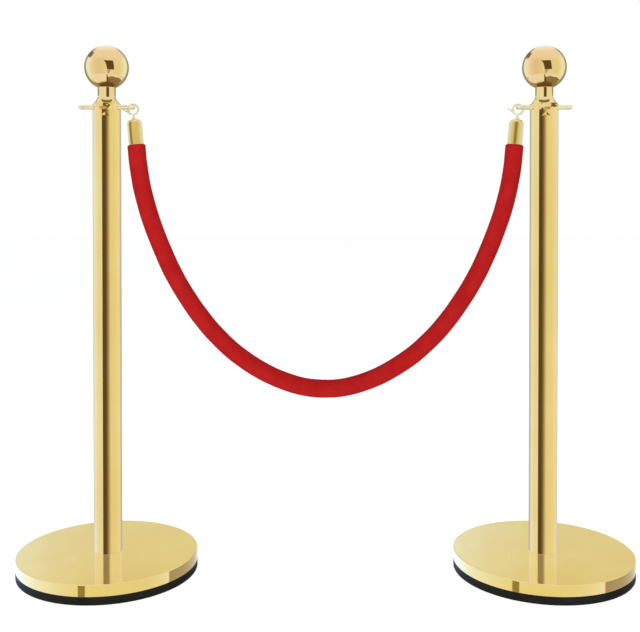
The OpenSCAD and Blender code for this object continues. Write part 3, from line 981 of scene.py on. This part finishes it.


# The painted reflection under each ball, on a flat glowing fan below it.
FAN_INNER, FAN_R = 1, 84
FAN_BROWN = (0.33, 0.24, 0.15)
FAN_DEEP = (0.16, 0.085, 0.02)
FAN_LEFT = (0.42, 0.36, 0.32)
FAN_PALE = (1.03, 1.0, 1.15)
FAN_UNDER = (0.16, 0.09, 0.03)


def fan_card(nodes, place):
    """The painted reflection in the ball's underside: brown, darkest in front, pale further out."""
    scaled = nodes.add("ShaderNodeVectorMath", {0: place, 3: 1 / MM}, operation="SCALE").outputs[0]
    axes = nodes.add("ShaderNodeSeparateXYZ", {0: scaled}).outputs
    x, y = axes[0], axes[1]
    wedge = nodes.span(nodes.absolute(nodes.math("SUBTRACT", x, 2)), 9, 3)
    colour = nodes.mix(wedge, dimmed(FAN_BROWN), dimmed(FAN_DEEP))
    left = both(nodes, nodes.span(x, -2, -12), nodes.span(y, -40, -10))
    colour = nodes.mix(left, colour, dimmed(FAN_LEFT))
    ahead_right = both(nodes, nodes.span(y, -58, -63), nodes.span(x, 4, 8))
    slanted = nodes.math("MULTIPLY_ADD", x, -0.8, nodes.math("MULTIPLY", y, -1))
    ahead_left = both(nodes, nodes.span(slanted, 29, 35), nodes.span(x, 1, -2))
    side = nodes.span(nodes.math("MULTIPLY_ADD", x, 1, nodes.math("MULTIPLY", y, -0.9)), 88, 94)
    pale = nodes.math("MAXIMUM", nodes.math("MAXIMUM", ahead_right, ahead_left), side)
    colour = nodes.mix(pale, colour, dimmed(FAN_PALE))
    under = nodes.add("ShaderNodeVectorMath", {0: scaled}, operation="LENGTH").outputs["Value"]
    return nodes.mix(nodes.span(under, 38, 20), colour, dimmed(FAN_UNDER)), 1.0


BAND_R = 162
BAND_TOP = 33
BAND_RING = [
    (-180, (0.98, 0.98, 0.95)), (-150, (0.60, 0.60, 0.62)), (-125, (0.95, 1.0, 1.1)),
    (-100, (1.08, 1.25, 1.8)),
    (-80, (1.14, 1.42, 2.3)), (-58, (1.12, 1.38, 2.1)), (-48, (1.06, 1.22, 1.6)), (-24, (1.01, 1.0, 0.80)),
    (0, (0.98, 0.96, 0.66)), (24, (0.98, 0.97, 0.75)), (39.5, (1.04, 1.10, 1.2)), (40.5, (0.48, 0.40, 0.28)),
    (56, (0.51, 0.46, 0.42)), (72, (0.64, 0.67, 0.74)), (84, (0.85, 0.9, 1.0)), (100, (1.05, 1.1, 1.3)),
    (135, (0.98, 0.98, 0.9)), (180, (0.98, 0.98, 0.95)),
]
# The tick is a narrow dark line painted into the band's reflection.
TICK_AT = -16
TICK_HALF_W = 2.2
TICK = (0.38, 0.30, 0.10)


def band_card(nodes, place):
    """The painted reflection in the band of the base: cards by azimuth, and the narrow dark edge of one card."""
    azimuth, _ = angles_of(nodes, place)
    colour = graded(nodes, azimuth, -180, 180, BAND_RING)
    off = nodes.absolute(nodes.math("SUBTRACT", azimuth, TICK_AT))
    return nodes.mix(nodes.span(off, TICK_HALF_W + 0.5, TICK_HALF_W - 0.5), colour, dimmed(TICK)), 1.0


POST_CARD_R = 60
# DUSK is the painted soft edge of the dark card.
DUSK = (0.35, 0.28, 0.18)
POST_CARD = [
    (-110, (1.0, 1.15, 1.6)), (-85, (1.05, 1.1, 1.25)), (-60, (0.98, 1.0, 1.0)), (-33, (0.98, 1.0, 1.03)),
    (-31, DARK), (-10, DARK), (2, DUSK), (20, (0.95, 0.9, 0.72)), (55, (1.0, 0.95, 0.72)),
    (75, (1.0, 1.0, 0.9)), (110, (1.0, 1.05, 1.25)),
]
MIRRORED_CARD = [
    (-180, (0.95, 1.05, 1.4)), (-128, (0.95, 1.05, 1.4)), (-115, (1.18, 1.40, 2.3)),
    (-33, (1.18, 1.40, 2.3)),
    (-31, (0.42, 0.45, 0.60)), (0, (0.46, 0.47, 0.62)), (8, (0.72, 0.76, 1.0)),
    (16, (1.16, 1.36, 2.1)), (115, (1.18, 1.40, 2.3)), (128, (0.95, 1.05, 1.4)), (180, (0.95, 1.05, 1.4)),
]


DIRECT_REACH = 41
DIRECT_HALF = 45


def post_card(nodes, place):
    """The painted reflection in the tube: light cards and a dark one, with a soft edge on its right.

    Where the tube is itself seen in polished metal, the card paints that second reflection with colours from
    MIRRORED_CARD."""
    azimuth, _ = angles_of(nodes, place)
    path = nodes.add("ShaderNodeLightPath").outputs
    once = nodes.math("LESS_THAN", path["Glossy Depth"], 1.5)
    direct = graded(nodes, azimuth, -110, 110, POST_CARD)
    again = graded(nodes, azimuth, -180, 180, MIRRORED_CARD)
    aside = nodes.absolute(azimuth)
    close = nodes.math("LESS_THAN", path["Ray Length"], DIRECT_REACH * MM)
    near = nodes.math("MAXIMUM", close, nodes.math("GREATER_THAN", aside, DIRECT_HALF))
    share = both(nodes, nodes.span(aside, 100, 92), near)
    return nodes.mix(once, again, direct), nodes.math("MAXIMUM", share, nodes.math("SUBTRACT", 1, once))


NECK_CARD = [
    (-110, (1.0, 1.1, 1.5)), (-60, (1.0, 1.02, 1.1)), (-8, (1.02, 1.04, 1.25)), (-2, DARK), (24, DARK),
    (30, (1.02, 1.02, 1.15)), (70, (1.0, 0.98, 0.9)), (110, (1.0, 1.1, 1.5)),
]


def neck_card(nodes, place):
    """The painted reflection in the neck: light cards with a narrow dark gap."""
    azimuth, _ = angles_of(nodes, place)
    return graded(nodes, azimuth, -110, 110, NECK_CARD), nodes.span(nodes.absolute(azimuth), 100, 92)


CAP_CARD_R = 17
CAP_GOLD = (0.8, 0.75, 0.5)
CAP_PALE = (0.9, 1.0, 1.3)
CAP_BACK = (0.95, 0.93, 0.8)
CAP_DARK = (0.35, 0.3, 0.12)
CAP_DARK_AT = {"left": -45, "right": 0}


def cap_card(side):
    """The painted reflection in a rope cap: gold ahead, pale aside, warm behind, and a soft dark card at one azimuth.
    """

    def colour(nodes, place):
        azimuth, _ = angles_of(nodes, place)
        away = nodes.absolute(azimuth)
        shade = nodes.mix(nodes.span(away, 20, 60), dimmed(CAP_GOLD), dimmed(CAP_PALE))
        shade = nodes.mix(nodes.span(away, 125, 145), shade, dimmed(CAP_BACK))
        off = nodes.absolute(nodes.math("SUBTRACT", azimuth, CAP_DARK_AT[side]))
        return nodes.mix(nodes.span(off, 22, 6), shade, dimmed(CAP_DARK)), 1.0

    return colour


OLIVE = (0.27, 0.24, 0.04)
BAR_LIGHT = (0.95, 0.80, 0.56)
BAR_DARK = (0.23, 0.13, 0.02)
BAR_SPLIT = 3


def shoulder_card(nodes, place):
    """The painted reflection in the shoulder where it faces up: a narrow olive crescent, the same all over."""
    return (*dimmed(OLIVE), 1), 1.0


def bar_card(nodes, place):
    """The painted reflection in the end bar of the front loop: a light card on the left, a dark one on the right."""
    along = nodes.add("ShaderNodeSeparateXYZ", {0: place}).outputs[2]
    right = nodes.span(along, (BAR_SPLIT - 0.5) * MM, (BAR_SPLIT + 0.5) * MM)
    return nodes.mix(right, dimmed(BAR_LIGHT), dimmed(BAR_DARK)), 1.0


# Lowest and highest edge of the upright cards, in millimetres above the floor
NECK_SPAN = (848, 867)
POST_SPAN = (14, 825)
BAND_SPAN = (0.5, BAND_TOP)
SHOULDER_CARD_R = 24
BAR_CARD_R = 14
BAR_CARD_HALF = 50
# The nearest and the furthest metal that sees each card, in millimetres
SEEN_FROM = {
    "ball": (0, 55), "fan": (0, 100), "shoulder": (53, 68), "bar": (0, 34),
    "neck": (43, 62), "post": (33, 62), "band": (0, 50), "cap": (0, 12.5),
}


def upright(radius, span):
    """The outline of a round upright card."""
    return [(radius, z) for z in span]


def make_cards(side):
    centre, _ = ball_shape(side)
    turned = on_post(side) @ facing_camera(post_axis(side))
    at_ball = turned @ Matrix.Translation((0, 0, centre * MM))
    below_ball = turned @ Matrix.Translation((0, 0, (centre - TENT_R) * MM))
    wide = Matrix.Translation((0, -3 * MM, 0)) @ Matrix.Diagonal((2, 1, 1, 1))
    low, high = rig.box(f"{side}_loop_front")
    bar_r = (high.z - low.z) / 2
    bar_middle = Matrix.Translation((post_axis(side), low.y + bar_r, low.z + bar_r))
    at_bar = bar_middle @ Matrix.Rotation(math.pi / 2, 4, "Y")
    hook = hook_frame(side)
    at_cap = hook @ facing_camera(hook.translation.x)
    rising = np.radians(np.linspace(TENT_OPEN, 89.9, 48))
    tent = [(TENT_R * math.cos(a), TENT_R * math.sin(a)) for a in rising]
    cards = [
        ("ball", at_ball, shell(tent), ball_card),
        ("fan", below_ball, shell([(FAN_INNER, 0), (FAN_R, 0.01)]), fan_card),
        ("shoulder", at_ball @ wide, shell([(SHOULDER_CARD_R, 0), (1, 0.01)]), shoulder_card),
        ("bar", at_bar, shell(upright(BAR_CARD_R, (-BAR_CARD_HALF, BAR_CARD_HALF))), bar_card),
        ("neck", turned, shell(upright(POST_CARD_R, NECK_SPAN)), neck_card),
        ("post", turned, shell(upright(POST_CARD_R, POST_SPAN)), post_card),
        ("band", turned, shell(upright(BAND_R, BAND_SPAN), 256), band_card),
        ("cap", at_cap, shell(upright(CAP_CARD_R, (CAP_MOUTH, CAP_TOP + 2))), cap_card(side)),
    ]
    for name, place, mesh_maker, colour in cards:
        reflected_card(f"{side}_{name}_card", place, mesh_maker, *SEEN_FROM[name], colour)


FLOOR_GLOW = 0.70
FLOOR_WHITE = 0.62
FLOOR_SIZE = 40


def make_floor():
    made = bpy.data.materials.new("floor")
    made.use_nodes = True
    nodes = Nodes(made.node_tree)
    diffuse = nodes.add("ShaderNodeBsdfDiffuse", {"Color": (*(FLOOR_WHITE,) * 3, 1)}).outputs[0]
    glow = nodes.add("ShaderNodeEmission", {"Color": (1, 1, 1, 1), "Strength": FLOOR_GLOW}).outputs[0]
    gloss = nodes.add("ShaderNodeBsdfGlossy", {"Color": (1, 1, 1, 1), "Roughness": 0.12}).outputs[0]
    flat = nodes.add("ShaderNodeAddShader", {0: diffuse, 1: glow}).outputs[0]
    mixed = nodes.add("ShaderNodeMixShader", {0: 0.05, 1: flat, 2: gloss}).outputs[0]
    nodes.add("ShaderNodeOutputMaterial", {0: mixed})
    bpy.ops.mesh.primitive_plane_add(size=FLOOR_SIZE)
    floor = bpy.context.object
    floor.name = "floor"
    floor.data.materials.append(made)
    floor.visible_glossy = False
    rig.stage(floor)


LIGHT_TARGET = (0, 0, 0.5)
LIGHT_SIZE = 1.6
LIGHTS = {"front_light": ((-0.6, -2.6, 1.6), 44), "back_light": ((0.8, 2.4, 2.0), 9)}


def make_light(name, place, power):
    data = bpy.data.lights.new(name, "AREA")
    data.shape = "DISK"
    data.size = LIGHT_SIZE
    data.energy = power
    light = bpy.data.objects.new(name, data)
    bpy.context.scene.collection.objects.link(light)
    light.location = place
    light.rotation_euler = (Vector(LIGHT_TARGET) - Vector(place)).to_track_quat("-Z", "Y").to_euler()
    light.visible_glossy = False


make_world()
make_floor()
for side_name in SIDES:
    make_cards(side_name)
    for part in ("polished_cover", "rubber_ring", "turned_collar", "polished_ball"):
        bpy.data.objects[f"{side_name}_{part}"].visible_glossy = False
    for part in ("base_weight", "base_washers", "base_bolt"):
        frame["nodes"][f"{side_name}_{part}"].visible_glossy = False
for piece in [rope, *on_rope]:
    piece.visible_glossy = False
for light_name, (light_place, light_power) in LIGHTS.items():
    make_light(light_name, light_place, light_power)
bpy.context.scene.view_settings.view_transform = "Standard"

with open("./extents.json", "w") as sizes:
    visual_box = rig.bounds()
    json.dump({"cad": [list(c) for c in CAD_BOX], "visual": [list(c) for c in visual_box]}, sizes)
